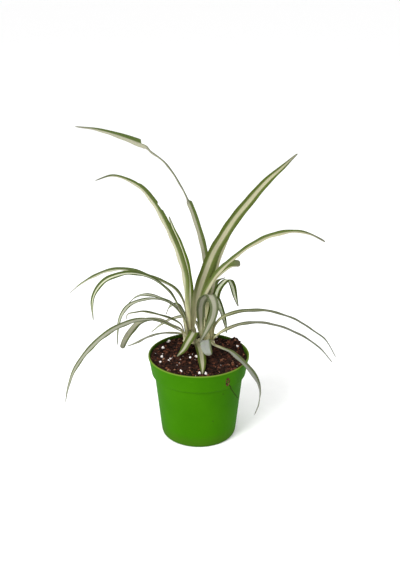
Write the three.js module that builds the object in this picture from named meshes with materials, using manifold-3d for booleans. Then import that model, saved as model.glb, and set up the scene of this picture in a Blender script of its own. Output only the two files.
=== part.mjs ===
// Potted spider plant: two rooted plantlets of a variegated spider plant growing in
// potting soil, in a green injection-moulded nursery pot. Millimetres, +Z up, the
// origin on the pot's base at its centre. The pot stands on its foot ring.
import * as THREE from 'three';
import { mergeVertices } from 'three/addons/utils/BufferGeometryUtils.js';
import Module from 'manifold-3d';

const wasm = await Module();
wasm.setup();

// ---- driving dimensions -------------------------------------------------------------
const GAP = 0.3; // clearance between pieces that touch
const CUT_MARGIN = 4; // how far a cutter runs past what it cuts

const POT_HEIGHT = 92;
const RIM_RADIUS = 54;
const LIP_HEIGHT = 2.2; // band that stands proud round the top of the collar
const LIP_REACH = 0.6;
const LIP_BEVEL = 0.4;
const COLLAR_FOOT_RADIUS = 50.5; // lower end of the wide collar under the rim
const COLLAR_FOOT_HEIGHT = 72;
const SHOULDER_RADIUS = 47.5; // top of the tapering body, under the collar
const SHOULDER_HEIGHT = 70;
const STEP_LIFT = 0.6; // the step under the collar lies this much higher inside
const HEEL_RADIUS = 41.5; // where the body starts to round in to the foot
const HEEL_HEIGHT = 12;
const FOOT_RADIUS = 38.5;
const FOOT_CURVE = [[0, 0], [1.3, 1.2], [2.2, 4.5]]; // [outwards, up] from the foot
const FOOT_RING_WIDTH = 1.8;
const WALL = 1.2;
const TOP_ROUND = 0.5; // the inner edge of the rim
const FLOOR_HEIGHT = 1;
const FLOOR_BEVEL = 0.6;
const PAD_RADIUS = 12; // flat pad in the middle of the floor, level with the foot ring
const POT_SIDES = 48;
const FACET_SAG = 0.1; // the pot's flat sides lie this much inside its radius
const DRAIN_COUNT = 8;
const DRAIN_FIRST_ANGLE = 13; // degrees from +X
const DRAIN_WIDTH = 15;
const DRAIN_HEIGHT = 3;
const DRAIN_INNER_RADIUS = 29;

const SOIL_FLOOR = FLOOR_HEIGHT + WALL + GAP;
const SOIL_LEVEL = 87.5;
const SOIL_RINGS = 11;
const SOIL_RING_SPREAD = 0.85; // under 1, the outer rings lie closer together
const SOIL_SECTORS = 40;
const MOUND_HEIGHT = 4.3; // soil drawn up round the crowns
const MOUND_REACH = 13;
const HEAP = { x: 39, y: 26, height: 8.5, reach: 9 }; // heap against the rim, right rear
const CLODS = { seed: 20, count: 60, rimMargin: 8, reach: [3, 6], height: [-0.9, 1.3] };
const CLOD_CLEAR = [1, 6]; // clods fade out between these distances from a crown
const PERLITE = { seed: 5, radius: [1.1, 1.8], lift: 0.2 };
const PERLITE_SPOTS = [ // [x, y] of the larger white grains
  [-39, 18.5], [-39.5, -2], [-30, -4.5], [-32, -10], [-40.5, -14], [-18.5, -32.5], [-9, -1.5],
  [-2.5, 1], [1, -38], [7.5, -39.5], [42, 18], [-33, 34], [-14, 46], [20, 44],
];

const CROWN_TOP = 93.4;
const CROWN_RADIUS = 8.4;
const CROWN_ROOT = [[0, 60], [1.8, 61.5], [4.4, 70], [7.4, 82], [CROWN_RADIUS, 88]];
const CROWN_BEVEL = 0.2; // the outer edge of each ring of leaf bases
const CROWN_CAP = 0.8; // dome over the growing point
const CROWN_SIDES = 24;
const SEAT_DEPTH = 4.5; // how deep a leaf base stands in its ring
const SEATS = [ // rings of leaf bases, from the middle outwards
  { radius: 2.4, width: 3.8, rise: 1.4 },
  { radius: 4.6, width: 4.7, rise: 0.7 },
  { radius: 6.9, width: 5.2, rise: 0 },
];

const LEAF_THICKNESS = 0.8;
const LEAF_COLUMNS = 4; // quads across a blade
const COLLAR_POINT = { out: 0.4, up: 2.5 }; // where a leaf base starts to lean outwards
const FOOT_SHARE = 0.78; // most of a leaf's width that its foot may have
const SETTLE = 0.22; // share of a leaf over which its foot opens out into the blade
const TIP_TURN = 0.4; // share of the edges' turn that is left at the tip
const MEAN_LIFT = 0.17; // keeps the middle of a channelled blade on its route
const ROUTE_SAMPLES = 400;
const STATIONS = { base: 6, step: 14, least: 9, most: 24, crowding: 1.2 }; // rows along a blade

const CROWNS = {
  left: { x: -9.5, y: 31 },
  right: { x: 9.5, y: 29 },
};

// Width along a leaf as a share of its widest place, at equal steps from base to tip.
const STRAP = [0.6, 0.85, 1, 1, 0.97, 0.91, 0.79, 0.55, 0.1];
const BLUNT = [0.6, 0.85, 1, 1, 1, 1, 0.95, 0.85, 0.6];
const CREASED = [0.7, 0.85, 0.8, 0.68, 0.64, 0.7, 1, 0.54, 0.08];
const PADDLE = [0.6, 0.6, 0.6, 0.62, 0.66, 0.76, 0.95, 1, 0.75];
const DRIED = [0.6, 0.85, 1, 1, 0.97, 0.91, 0.82, 0.66, 0.4]; // its tip has died back
const STALKED = [0.5, 0.5, 0.65, 0.95, 1, 0.93, 0.8, 0.55, 0.1];

// Each leaf: seat = [ring, angle in degrees round the crown], bearing = the way it arches
// (degrees from +X), its widest width, turn = how far its edges turn up (degrees), and via
// = the points the middle of its blade passes through, each [x, y, z] or
// [x, y, z, twist in degrees].
const LEAVES = {
  left: [
    { seat: [0, 30], bearing: 20, width: 13, turn: 34, via: [[-4, 32, 122, 20], [0, 33, 148, 50],
      [8, 36, 173, 65], [16, 41, 192, 70], [24, 45, 205, 70], [38, 53, 225, 68], [55, 62, 244, 62],
      [73, 72, 262, 55], [91, 81, 276, 50], [107, 88, 289, 40]] },
    { seat: [0, 265], bearing: 196, width: 9, turn: 42, via: [[-13, 21, 145, 20], [-14, 17, 173, 45],
      [-19, 12, 197, 50], [-25, 6, 217, 50], [-38, -7, 251, 55], [-46, -14, 267, 55],
      [-56, -21, 281, 60], [-68, -27, 290, 60], [-82, -32, 295, 60], [-97, -40, 292, 60]] },
    { seat: [1, 90], bearing: 150, width: 8, turn: 40, via: [[-9, 43, 130, -40], [-10, 47, 152, -60],
      [-14, 56, 176, -70], [-21, 66, 194, -60], [-28, 75, 208, -60], [-33, 83, 220, -50]] },
    { seat: [0, 150], bearing: 172, width: 7.5, turn: 35, via: [[-14, 36, 125], [-19, 40, 141],
      [-27, 44, 150], [-39, 48, 156], [-54, 53, 160, -5], [-69, 58, 164, -15], [-86, 63, 165, -15],
      [-103, 70, 160, -20], [-118, 75, 152, -25], [-133, 82, 141, -20], [-149, 89, 126]] },
    { seat: [1, 158], bearing: 184, width: 8.5, turn: 38, via: [[-17, 29, 120], [-22, 29, 135],
      [-31, 27, 152], [-47, 23, 168], [-61, 20, 175, -10], [-73, 16, 178, -15], [-85, 13, 177, -25],
      [-97, 9, 173, -40], [-106, 4, 165, -50], [-111, 0, 153, -55], [-110, -8, 134, -50]] },
    { seat: [2, 122], bearing: 176, width: 6, turn: 35, via: [[-17, 36, 118], [-24, 39, 129],
      [-31, 41, 134], [-39, 45, 136], [-50, 51, 138, -10], [-59, 56, 137, -15], [-70, 63, 132, -10],
      [-80, 70, 121]] },
    { seat: [1, 225], bearing: 200, width: 6.5, turn: 35, via: [[-16, 22, 122], [-26, 18, 139],
      [-37, 16, 147], [-47, 13, 150], [-56, 9, 151], [-72, 2, 148, -15], [-78, -3, 143, -25],
      [-83, -8, 133, -25], [-85, -17, 110, -15]] },
    { seat: [2, 165], bearing: 188, width: 6, turn: 35, via: [[-19, 28, 113], [-30, 24, 122],
      [-41, 20, 128], [-59, 16, 134], [-67, 14, 134], [-76, 13, 132], [-78, 11, 126]] },
    { seat: [2, 258], bearing: 207, width: 7.5, turn: 35, via: [[-16, 15, 109], [-25, 10, 117],
      [-37, 4, 126], [-50, -3, 133], [-63, -9, 135, -10], [-77, -17, 134, -15], [-90, -27, 131, -20],
      [-103, -37, 124, -20], [-116, -49, 113, -20], [-125, -59, 101, -20], [-130, -66, 88, -15],
      [-133, -73, 74]] },
    { seat: [2, 211], bearing: 202, width: 8.5, turn: 30, shape: BLUNT, via: [
      [-18, 22, 109], [-29, 17, 118], [-41, 12, 126], [-52, 7, 129], [-63, 2, 127, -15],
      [-71, -3, 120, -30], [-77, -7, 112, -40], [-81, -12, 104, -45]] },
    { seat: [2, 84], bearing: 164, width: 5, turn: 35, via: [[-11, 42, 98], [-19, 42, 96],
      [-26, 43, 96], [-35, 44, 96], [-44, 48, 93], [-58, 56, 85, -15], [-71, 65, 74, -25],
      [-84, 76, 64, -25]] },
    { seat: [2, 46], bearing: 140, width: 6, turn: 35, via: [[-6, 41, 103], [-13, 44, 110],
      [-18, 50, 119], [-24, 58, 124, -20], [-32, 65, 120, -40], [-38, 77, 104, -40]] },
    { seat: [2, 305], bearing: 235, width: 11.5, turn: 48, via: [[-5, 18, 109], [-7, 13, 107],
      [-12, 8, 100], [-16, 3, 95], [-23, -3, 90]] },
  ],
  right: [
    { seat: [0, 120], bearing: 165, width: 10, turn: 35, shape: CREASED, via: [
      [8, 39, 135, -40], [10, 44, 165, -70], [6, 49, 192, -70], [0, 54, 215, -70], [-9, 59, 240, -60],
      [-12, 61, 246, -5], [-19, 65, 259], [-35, 71, 282], [-52, 77, 295, -5], [-56, 80, 299, -55],
      [-67, 83, 303, -55], [-87, 88, 309, -50], [-110, 94, 314, -45], [-134, 100, 316, -40]] },
    { seat: [1, 85], bearing: 50, width: 7.5, turn: 35, via: [[8, 43, 114, 50], [14, 53, 148, 60],
      [20, 63, 173, 60], [27, 73, 188, 60], [34, 83, 200, 60], [46, 96, 218, 50]] },
    { seat: [0, 240], bearing: 342, width: 8, turn: 35, shape: DRIED, via: [
      [4, 22, 114, 20], [3, 16, 138, 55], [6, 11, 156, 60], [12, 7, 170, 50], [21, 3, 185, 40],
      [34, -3, 200, 30], [48, -9, 214, 30], [65, -16, 227, 35], [80, -24, 235, 35],
      [94, -31, 239, 20], [107, -39, 239, 5], [121, -48, 234, 5]] },
    { seat: [0, 0], bearing: 0, width: 9.5, turn: 30, shape: PADDLE, via: [
      [8, 29, 112], [6, 21, 138, 20], [8, 19, 154, 30], [14, 19, 167, 35], [23, 20, 179, 45],
      [33, 22, 186, 55], [44, 23, 186, 50]] },
    { seat: [2, 60], bearing: 50, width: 9, turn: 30, via: [[15, 37, 103], [16, 40, 116],
      [18, 44, 132, 10], [21, 49, 144, 10], [27, 53, 152], [33, 57, 155, -10], [38, 62, 145, -30],
      [41, 66, 131, -40], [45, 72, 116, -40]] },
    { seat: [2, 109], bearing: 75, width: 7, turn: 35, via: [[8, 47, 113, 20], [13, 56, 128, 20],
      [17, 64, 140, 10], [21, 70, 148], [30, 76, 150]] },
    { seat: [1, 266], bearing: 75, width: 8, turn: 25, via: [[9, 20, 108], [13, 22, 126],
      [16, 26, 139], [17, 31, 145], [20, 36, 140], [25, 38, 126], [29, 40, 111], [31, 39, 98]] },
    { seat: [1, 195], bearing: 75, width: 11, turn: 25, shape: STALKED, via: [[3, 22, 104],
      [2, 11, 129, 40], [2, 7, 144, 40], [6, 2, 156, 20], [12, -3, 160], [16, -7, 152],
      [15, -9, 140], [10, -11, 128], [5, -12, 118], [1, -13, 111]] },
    { seat: [2, 14], bearing: 350, width: 5, turn: 35, via: [[17, 27, 111, 20], [26, 26, 123, 35],
      [41, 24, 130, 35], [58, 24, 132, 20], [74, 25, 131, 10], [91, 26, 126], [108, 28, 118], [124, 31, 106],
      [140, 33, 93], [154, 38, 69]] },
    { seat: [2, 338], bearing: 345, width: 5, turn: 35, via: [[18, 21, 102, 20], [26, 18, 110, 35],
      [36, 14, 117, 35], [48, 9, 123, 20], [62, 5, 126, 10], [78, -2, 127], [95, -9, 124], [112, -17, 118],
      [127, -25, 109], [138, -33, 98]] },
    { seat: [2, 295], bearing: 315, width: 7.5, turn: 35, shape: STALKED, via: [[17, 10, 97], [25, 1, 98],
      [35, -12, 99], [46, -29, 96], [55, -35, 88], [62, -38, 76, -15], [64, -37, 63, -35],
      [63, -35, 50, -40], [59, -35, 37, -40]] },
    { seat: [2, 197], bearing: 265, width: 9.5, turn: 35, via: [[-1, 21, 95], [1, 11, 94], [3, -7, 92],
      [4, -25, 91], [4, -43, 90]] },
    { seat: [2, 246], bearing: 290, width: 12, turn: 26, shape: BLUNT, via: [
      [7, 9, 103], [8, -4, 101], [11, -15, 97]] },
    { seat: [2, 153], bearing: 160, width: 5, turn: 35, via: [[0, 39, 102], [-4, 49, 108],
      [-16, 54, 111, -10], [-24, 56, 110, -20], [-38, 63, 101, -25], [-56, 80, 80, -25]] },
  ],
};

// ---- helpers ------------------------------------------------------------------------
const radians = THREE.MathUtils.degToRad;
const { clamp, lerp, smoothstep } = THREE.MathUtils;

/** Repeatable random numbers in [0, 1). */
function seededRandom(seed) {
  let state = seed >>> 0;
  return () => {
    state = (Math.imul(state, 1664525) + 1013904223) >>> 0;
    return state / 4294967296;
  };
}

/** A random number between two limits. */
const between = (random, [low, high]) => lerp(low, high, random());

/** Value of a list of numbers at t in [0, 1], eased between equal steps. */
function along(list, t) {
  const place = clamp(t, 0, 1) * (list.length - 1);
  const index = Math.min(Math.floor(place), list.length - 2);
  return lerp(list[index], list[index + 1], smoothstep(place - index, 0, 1));
}

function toManifold(geometry) {
  const bare = new THREE.BufferGeometry();
  bare.setAttribute('position', geometry.getAttribute('position'));
  bare.setIndex(geometry.getIndex());
  const merged = mergeVertices(bare, 1e-4);
  return new wasm.Manifold(new wasm.Mesh({
    numProp: 3,
    vertProperties: new Float32Array(merged.getAttribute('position').array),
    triVerts: new Uint32Array(merged.getIndex().array),
  }));
}

function fromManifold(solid) {
  const { vertProperties, triVerts } = solid.getMesh();
  const geometry = new THREE.BufferGeometry();
  geometry.setAttribute('position', new THREE.BufferAttribute(vertProperties, 3));
  geometry.setIndex(new THREE.BufferAttribute(triVerts, 1));
  return geometry;
}

/** A closed turned solid about Z from a list of [radius, height]. */
function turned(profile, sides) {
  const points = profile.map(([radius, height]) => new THREE.Vector2(radius, height));
  return new THREE.LatheGeometry(points, sides).rotateX(Math.PI / 2);
}

// ---- pot ----------------------------------------------------------------------------
const COLLAR_TOP_RADIUS = RIM_RADIUS - LIP_REACH;
const INNER_FLOOR = FLOOR_HEIGHT + WALL;
const [, FOOT_BEND, FOOT_SIDE] = FOOT_CURVE.map(([out, up]) => [FOOT_RADIUS + out, up]);
const POT_OUTSIDE = [
  [FOOT_RADIUS, 0], FOOT_BEND, FOOT_SIDE, [HEEL_RADIUS, HEEL_HEIGHT],
  [SHOULDER_RADIUS, SHOULDER_HEIGHT], [COLLAR_FOOT_RADIUS, COLLAR_FOOT_HEIGHT],
  [COLLAR_TOP_RADIUS, POT_HEIGHT - LIP_HEIGHT - LIP_BEVEL],
  [RIM_RADIUS, POT_HEIGHT - LIP_HEIGHT], [RIM_RADIUS, POT_HEIGHT - LIP_REACH],
  [COLLAR_TOP_RADIUS, POT_HEIGHT],
];
const POT_INSIDE = [
  [COLLAR_TOP_RADIUS - WALL + TOP_ROUND, POT_HEIGHT],
  [COLLAR_TOP_RADIUS - WALL, POT_HEIGHT - LIP_REACH],
  [COLLAR_FOOT_RADIUS - WALL, COLLAR_FOOT_HEIGHT + STEP_LIFT],
  [SHOULDER_RADIUS - WALL, SHOULDER_HEIGHT + STEP_LIFT],
  [HEEL_RADIUS - WALL, HEEL_HEIGHT], [FOOT_SIDE[0] - WALL, FOOT_SIDE[1]],
  [FOOT_BEND[0] - WALL, INNER_FLOOR],
];

/** A turned thin-walled pot, with slots cut through the corner of its floor. */
function potGeometry() {
  const ring = FOOT_RADIUS - FOOT_RING_WIDTH;
  const profile = [
    [0, 0], [PAD_RADIUS, 0], [PAD_RADIUS + FLOOR_BEVEL, FLOOR_HEIGHT],
    [ring - FLOOR_BEVEL, FLOOR_HEIGHT], [ring, 0],
    ...POT_OUTSIDE, ...POT_INSIDE, [0, INNER_FLOOR],
  ];
  let pot = toManifold(turned(profile, POT_SIDES));
  const slotLength = HEEL_RADIUS + CUT_MARGIN - DRAIN_INNER_RADIUS;
  for (let i = 0; i < DRAIN_COUNT; i++) {
    const slot = new THREE.BoxGeometry(slotLength, DRAIN_WIDTH, DRAIN_HEIGHT + CUT_MARGIN);
    slot.translate(DRAIN_INNER_RADIUS + slotLength / 2, 0, (DRAIN_HEIGHT - CUT_MARGIN) / 2);
    slot.rotateZ(radians(DRAIN_FIRST_ANGLE + i * 360 / DRAIN_COUNT));
    pot = pot.subtract(toManifold(slot));
  }
  return fromManifold(pot);
}

// ---- crowns -------------------------------------------------------------------------
/** A stub of stem with a groove round it for each ring of leaf bases. */
function crownGeometry() {
  const profile = [...CROWN_ROOT];
  const half = LEAF_THICKNESS / 2 + GAP;
  let outerEdge = CROWN_RADIUS;
  for (const seat of [...SEATS].reverse()) {
    const top = CROWN_TOP + seat.rise;
    const bottom = top - SEAT_DEPTH - GAP;
    profile.push([outerEdge, top - CROWN_BEVEL], [seat.radius + half, top]);
    profile.push([seat.radius + half, bottom], [seat.radius - half, bottom]);
    outerEdge = seat.radius - half;
  }
  const capBase = CROWN_TOP + SEATS[0].rise + CROWN_CAP / 2;
  profile.push([outerEdge, capBase], [0, capBase + CROWN_CAP / 2]);
  return turned(profile, CROWN_SIDES);
}

/** The hole in the soil that a crown stands in. */
function crownHole() {
  const root = CROWN_ROOT.map(([radius, height]) => [radius ? radius + GAP : 0, height - GAP]);
  const top = CROWN_TOP + CUT_MARGIN;
  return turned([...root, [CROWN_RADIUS + GAP, top], [0, top]], CROWN_SIDES);
}

// ---- soil ---------------------------------------------------------------------------
/** Height of the soil's surface at x, y. */
function soilHeight() {
  const random = seededRandom(CLODS.seed);
  const clods = Array.from({ length: CLODS.count }, () => {
    const angle = random() * 2 * Math.PI;
    const reach = between(random, CLODS.reach);
    const distance = (RIM_RADIUS - CLODS.rimMargin) * Math.sqrt(random());
    const height = between(random, CLODS.height);
    return { x: distance * Math.cos(angle), y: distance * Math.sin(angle), reach, height };
  });
  const bump = (x, y, { x: cx, y: cy, reach, height }) => (
    height * Math.exp(-((x - cx) ** 2 + (y - cy) ** 2) / reach ** 2));
  return (x, y) => {
    const centres = Object.values(CROWNS);
    const near = Math.min(...centres.map((c) => Math.hypot(x - c.x, y - c.y))) - CROWN_RADIUS;
    const mound = MOUND_HEIGHT * (1 - smoothstep(near, 0, MOUND_REACH));
    const loose = clods.reduce((sum, clod) => sum + bump(x, y, clod), 0);
    const clear = smoothstep(near, ...CLOD_CLEAR);
    return SOIL_LEVEL + Math.max(mound, bump(x, y, HEAP)) + clear * loose;
  };
}

/** Radius of the soil inside the pot's wall at a height. */
function soilRadius(z) {
  const wall = [...POT_INSIDE].reverse();
  const upper = wall.findIndex(([, level]) => level > z);
  const [lowRadius, low] = wall[upper - 1];
  const [highRadius, high] = wall[upper];
  return lerp(lowRadius, highRadius, (z - low) / (high - low)) - GAP - FACET_SAG;
}

/** Triangles of a closed skin: a bottom point, rows of SOIL_SECTORS points, a top point. */
function skinIndices(rowCount) {
  const indices = [];
  const top = 1 + rowCount * SOIL_SECTORS;
  const at = (row, k) => 1 + row * SOIL_SECTORS + (k % SOIL_SECTORS);
  for (let k = 0; k < SOIL_SECTORS; k++) {
    indices.push(0, at(0, k + 1), at(0, k));
    indices.push(top, at(rowCount - 1, k), at(rowCount - 1, k + 1));
    for (let row = 0; row < rowCount - 1; row++) {
      indices.push(at(row, k), at(row, k + 1), at(row + 1, k));
      indices.push(at(row, k + 1), at(row + 1, k + 1), at(row + 1, k));
    }
  }
  return indices;
}

/** The soil that fills the pot: a rough top, a hole for each crown, grains of perlite. */
function soilGeometry() {
  const height = soilHeight();
  const positions = [0, 0, SOIL_FLOOR];
  const addRow = (radius, heightAt) => {
    for (let k = 0; k < SOIL_SECTORS; k++) {
      const angle = (k * 2 * Math.PI) / SOIL_SECTORS;
      const x = radius * Math.cos(angle);
      const y = radius * Math.sin(angle);
      positions.push(x, y, heightAt(x, y));
    }
  };
  const step = [SHOULDER_HEIGHT, COLLAR_FOOT_HEIGHT].map((z) => z + STEP_LIFT);
  const sides = [SOIL_FLOOR, FOOT_SIDE[1], HEEL_HEIGHT, ...step];
  for (const z of sides) addRow(soilRadius(z), () => z);
  const edge = soilRadius(SOIL_LEVEL);
  for (let ring = SOIL_RINGS; ring > 0; ring--) {
    addRow(edge * (ring / SOIL_RINGS) ** SOIL_RING_SPREAD, height);
  }
  positions.push(0, 0, height(0, 0));
  const geometry = new THREE.BufferGeometry();
  geometry.setAttribute('position', new THREE.Float32BufferAttribute(positions, 3));
  geometry.setIndex(skinIndices(sides.length + SOIL_RINGS));
  let soil = toManifold(geometry);
  for (const { x, y } of Object.values(CROWNS)) {
    soil = soil.subtract(toManifold(crownHole().translate(x, y, 0)));
  }
  const random = seededRandom(PERLITE.seed);
  for (const [x, y] of PERLITE_SPOTS) {
    const grain = new THREE.IcosahedronGeometry(between(random, PERLITE.radius), 0);
    grain.rotateX(random() * Math.PI).rotateZ(random() * Math.PI);
    soil = soil.add(toManifold(grain.translate(x, y, height(x, y) + PERLITE.lift)));
  }
  return fromManifold(soil);
}

// ---- leaves -------------------------------------------------------------------------
/** Stations of a leaf's midrib with the blade's frame, width and edge turn at each. */
function leafStations({ seat: [ring, angle], bearing, via, width, turn, shape = STRAP }, crown) {
  const seat = SEATS[ring];
  const outward = new THREE.Vector3(Math.cos(radians(angle)), Math.sin(radians(angle)), 0);
  const foot = new THREE.Vector3(crown.x, crown.y, CROWN_TOP + seat.rise - SEAT_DEPTH);
  foot.addScaledVector(outward, seat.radius);
  const neck = foot.clone().setZ(foot.z + SEAT_DEPTH);
  const collar = neck.clone().addScaledVector(outward, COLLAR_POINT.out);
  collar.z += COLLAR_POINT.up;
  const knots = [neck, collar, ...via.map(([x, y, z]) => new THREE.Vector3(x, y, z))];
  const twists = [0, 0, ...via.map(([, , , twist = 0]) => twist)];
  const curve = new THREE.CatmullRomCurve3(knots, false, 'centripetal');
  curve.arcLengthDivisions = ROUTE_SAMPLES;
  const wanted = STATIONS.base + curve.getLength() / STATIONS.step;
  const count = Math.round(clamp(wanted, STATIONS.least, STATIONS.most));
  const up = new THREE.Vector3(0, 0, 1);
  const places = [{ point: foot, tangent: up, t: 0, twist: 0 }];
  for (let i = 0; i <= count; i++) {
    const t = (i / count) ** STATIONS.crowding;
    const tangent = i === 0 ? up : curve.getTangentAt(t);
    const twist = along(twists, curve.getUtoTmapping(t));
    places.push({ point: curve.getPointAt(t), tangent, t, twist });
  }
  const swing = ((bearing - angle + 540) % 360) - 180;
  const footWidth = Math.min(seat.width, FOOT_SHARE * width);
  return places.map(({ point, tangent, t, twist }) => {
    const settled = smoothstep(t, 0, SETTLE);
    const heading = radians(angle + swing * settled);
    const side = new THREE.Vector3(-Math.sin(heading), Math.cos(heading), 0);
    side.addScaledVector(tangent, -side.dot(tangent)).normalize();
    side.applyAxisAngle(tangent, radians(twist));
    const halfWidth = lerp(footWidth, width * along(shape, t), settled) / 2;
    const bladeBend = radians(turn) * lerp(1, TIP_TURN, t);
    const bend = lerp(footWidth / 2 / seat.radius, bladeBend, settled);
    const sink = settled * MEAN_LIFT * halfWidth * bend;
    return { point, side, face: tangent.clone().cross(side), halfWidth, bend, sink };
  });
}

/** A closed strap blade: both faces are cut into triangles alike. */
function leafGeometry(leaf, crown) {
  const stations = leafStations(leaf, crown);
  const positions = [];
  const perRow = LEAF_COLUMNS + 1;
  for (const { point, side, face, halfWidth, bend, sink } of stations) {
    const radius = halfWidth / bend;
    for (const half of [LEAF_THICKNESS / 2, -LEAF_THICKNESS / 2]) {
      for (let j = 0; j < perRow; j++) {
        const lean = bend * (2 * j / LEAF_COLUMNS - 1);
        const across = (radius - half) * Math.sin(lean);
        const lift = radius - (radius - half) * Math.cos(lean) - sink;
        const place = point.clone().addScaledVector(side, across).addScaledVector(face, lift);
        positions.push(...place.toArray());
      }
    }
  }
  const indices = [];
  const quad = (a, b, c, d) => indices.push(a, c, b, a, d, c);
  const at = (station, under, j) => (station * 2 + under) * perRow + j;
  const last = stations.length - 1;
  for (let i = 0; i < last; i++) {
    for (let j = 0; j < LEAF_COLUMNS; j++) {
      quad(at(i, 0, j), at(i, 0, j + 1), at(i + 1, 0, j + 1), at(i + 1, 0, j));
      indices.push(at(i, 1, j), at(i, 1, j + 1), at(i + 1, 1, j + 1));
      indices.push(at(i, 1, j), at(i + 1, 1, j + 1), at(i + 1, 1, j));
    }
    quad(at(i, 1, 0), at(i, 0, 0), at(i + 1, 0, 0), at(i + 1, 1, 0));
    const edge = LEAF_COLUMNS;
    quad(at(i, 0, edge), at(i, 1, edge), at(i + 1, 1, edge), at(i + 1, 0, edge));
  }
  for (let j = 0; j < LEAF_COLUMNS; j++) {
    quad(at(0, 0, j), at(0, 1, j), at(0, 1, j + 1), at(0, 0, j + 1));
    quad(at(last, 0, j), at(last, 0, j + 1), at(last, 1, j + 1), at(last, 1, j));
  }
  const geometry = new THREE.BufferGeometry();
  geometry.setAttribute('position', new THREE.Float32BufferAttribute(positions, 3));
  geometry.setIndex(indices);
  return geometry;
}

// ---- assembly -----------------------------------------------------------------------
const potGreen = new THREE.MeshStandardMaterial({ color: '#489100', roughness: 0.45, metalness: 0 });
const soilBrown = new THREE.MeshStandardMaterial({ color: '#33201a', roughness: 1, metalness: 0 });
const crownPale = new THREE.MeshStandardMaterial({ color: '#b7b288', roughness: 0.7, metalness: 0 });
const leafGreen = new THREE.MeshStandardMaterial({ color: '#7d9150', roughness: 0.5, metalness: 0 });

const plant = new THREE.Group();

function addPiece(name, geometry, material, position = [0, 0, 0]) {
  const mesh = new THREE.Mesh(geometry, material);
  mesh.name = name;
  mesh.position.set(...position);
  plant.add(mesh);
}

addPiece('pot', potGeometry(), potGreen);
addPiece('potting_soil', soilGeometry(), soilBrown);
for (const [side, crown] of Object.entries(CROWNS)) {
  addPiece(`${side}_crown`, crownGeometry(), crownPale, [crown.x, crown.y, 0]);
  LEAVES[side].forEach((leaf, index) => {
    const number = String(index + 1).padStart(2, '0');
    addPiece(`${side}_leaf_${number}`, leafGeometry(leaf, crown), leafGreen);
  });
}

export default plant;
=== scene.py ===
import math
import random

import bmesh
import bpy
import numpy as np
from mathutils import Euler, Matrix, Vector, noise


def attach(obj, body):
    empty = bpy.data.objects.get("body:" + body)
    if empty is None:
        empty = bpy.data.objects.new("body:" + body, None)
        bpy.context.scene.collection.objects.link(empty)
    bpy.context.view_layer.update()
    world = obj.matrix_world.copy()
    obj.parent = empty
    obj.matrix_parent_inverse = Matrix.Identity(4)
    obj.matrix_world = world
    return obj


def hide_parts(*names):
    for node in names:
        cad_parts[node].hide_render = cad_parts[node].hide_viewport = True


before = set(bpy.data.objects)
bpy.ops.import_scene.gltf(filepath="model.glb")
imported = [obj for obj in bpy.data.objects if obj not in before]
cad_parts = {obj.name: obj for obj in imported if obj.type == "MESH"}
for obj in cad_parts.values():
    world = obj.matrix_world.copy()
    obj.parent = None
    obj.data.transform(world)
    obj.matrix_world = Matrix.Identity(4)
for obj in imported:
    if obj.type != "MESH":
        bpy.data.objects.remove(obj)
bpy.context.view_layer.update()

# ---- Nursery pot --------------------------------------------------------------------
# One injection moulding in polypropylene, dyed a bright lime green. A wide collar under
# a thin rolled lip stiffens the mouth, the body tapers to a foot ring, and eight slots
# cut through the corner of the floor let water out. Sizes are in millimetres.
MM = 0.001

POT_HEIGHT = 92
RIM_RADIUS = 54
FLOOR_TOP = 2.2
HEEL_RADIUS = 41.5
POT_SIDES = 224

# The wall's outline as (radius, height, radius of the rounded corner).
POT_UNDERSIDE = [(12, 0, 0.3), (12.6, 1, 0.3), (36.1, 1, 0.3), (36.7, 0, 0.3)]
POT_OUTSIDE = [
    (38.5, 0, 0.5), (39.8, 1.2, 1.5), (40.7, 4.5, 3), (HEEL_RADIUS, 12, 6), (47.5, 70, 0.7),
    (50.5, 72, 0.3), (53.4, 89.4, 0.2),
    (RIM_RADIUS, 89.8, 0.3), (RIM_RADIUS, POT_HEIGHT, 0.7),
]
POT_INSIDE = [
    (52.2, POT_HEIGHT, 0.5), (49.3, 72.6, 0.7), (46.3, 70.6, 0.3), (40.3, 12, 5),
    (39.5, 4.5, 2), (38.6, FLOOR_TOP, 0.8),
]
CORNER_STEPS = 5
COLLAR_FOOT, COLLAR_TOP = (49.9, 72), (52.8, 89.4)  # (radius, height) midway through its wall
PAINTED_SHADE_FROM = 73.8  # height above which the inner wall gets painted shade, tinted like soil
DUST_HEIGHT = 16  # how far dust reaches up from the foot

DRAIN_COUNT = 8
DRAIN_FIRST_ANGLE = 13  # degrees from +X
DRAIN_WIDTH = 15
DRAIN_HEIGHT = 3
DRAIN_INNER_RADIUS = 29
DRAIN_CORNER = 1.1
CUT_MARGIN = 4


def rounded(outline):
    """The outline's points as (radius, height), each inner corner replaced by a curve."""
    points = [outline[0][:2]]
    for before, corner, after in zip(outline, outline[1:], outline[2:]):
        here = np.array(corner[:2], float)
        back = np.array(before[:2]) - here
        ahead = np.array(after[:2]) - here
        reach = min(corner[2], 0.45 * np.linalg.norm(back), 0.45 * np.linalg.norm(ahead))
        start = here + back / np.linalg.norm(back) * reach
        end = here + ahead / np.linalg.norm(ahead) * reach
        for step in range(CORNER_STEPS + 1):
            t = step / CORNER_STEPS
            points.append((1 - t) ** 2 * start + 2 * t * (1 - t) * here + t * t * end)
    return points + [outline[-1][:2]]


def turned_faces(count, sides):
    """Faces of count points that lie in rings round Z, closed by a point at either end."""
    faces = []
    for k in range(sides):
        after = (k + 1) % sides
        for row in range(0, count - sides, sides):
            faces.append((row + k, row + after, row + sides + after, row + sides + k))
        faces.append((count, after, k))
        faces.append((count + 1, count - sides + k, count - sides + after))
    return faces


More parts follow.
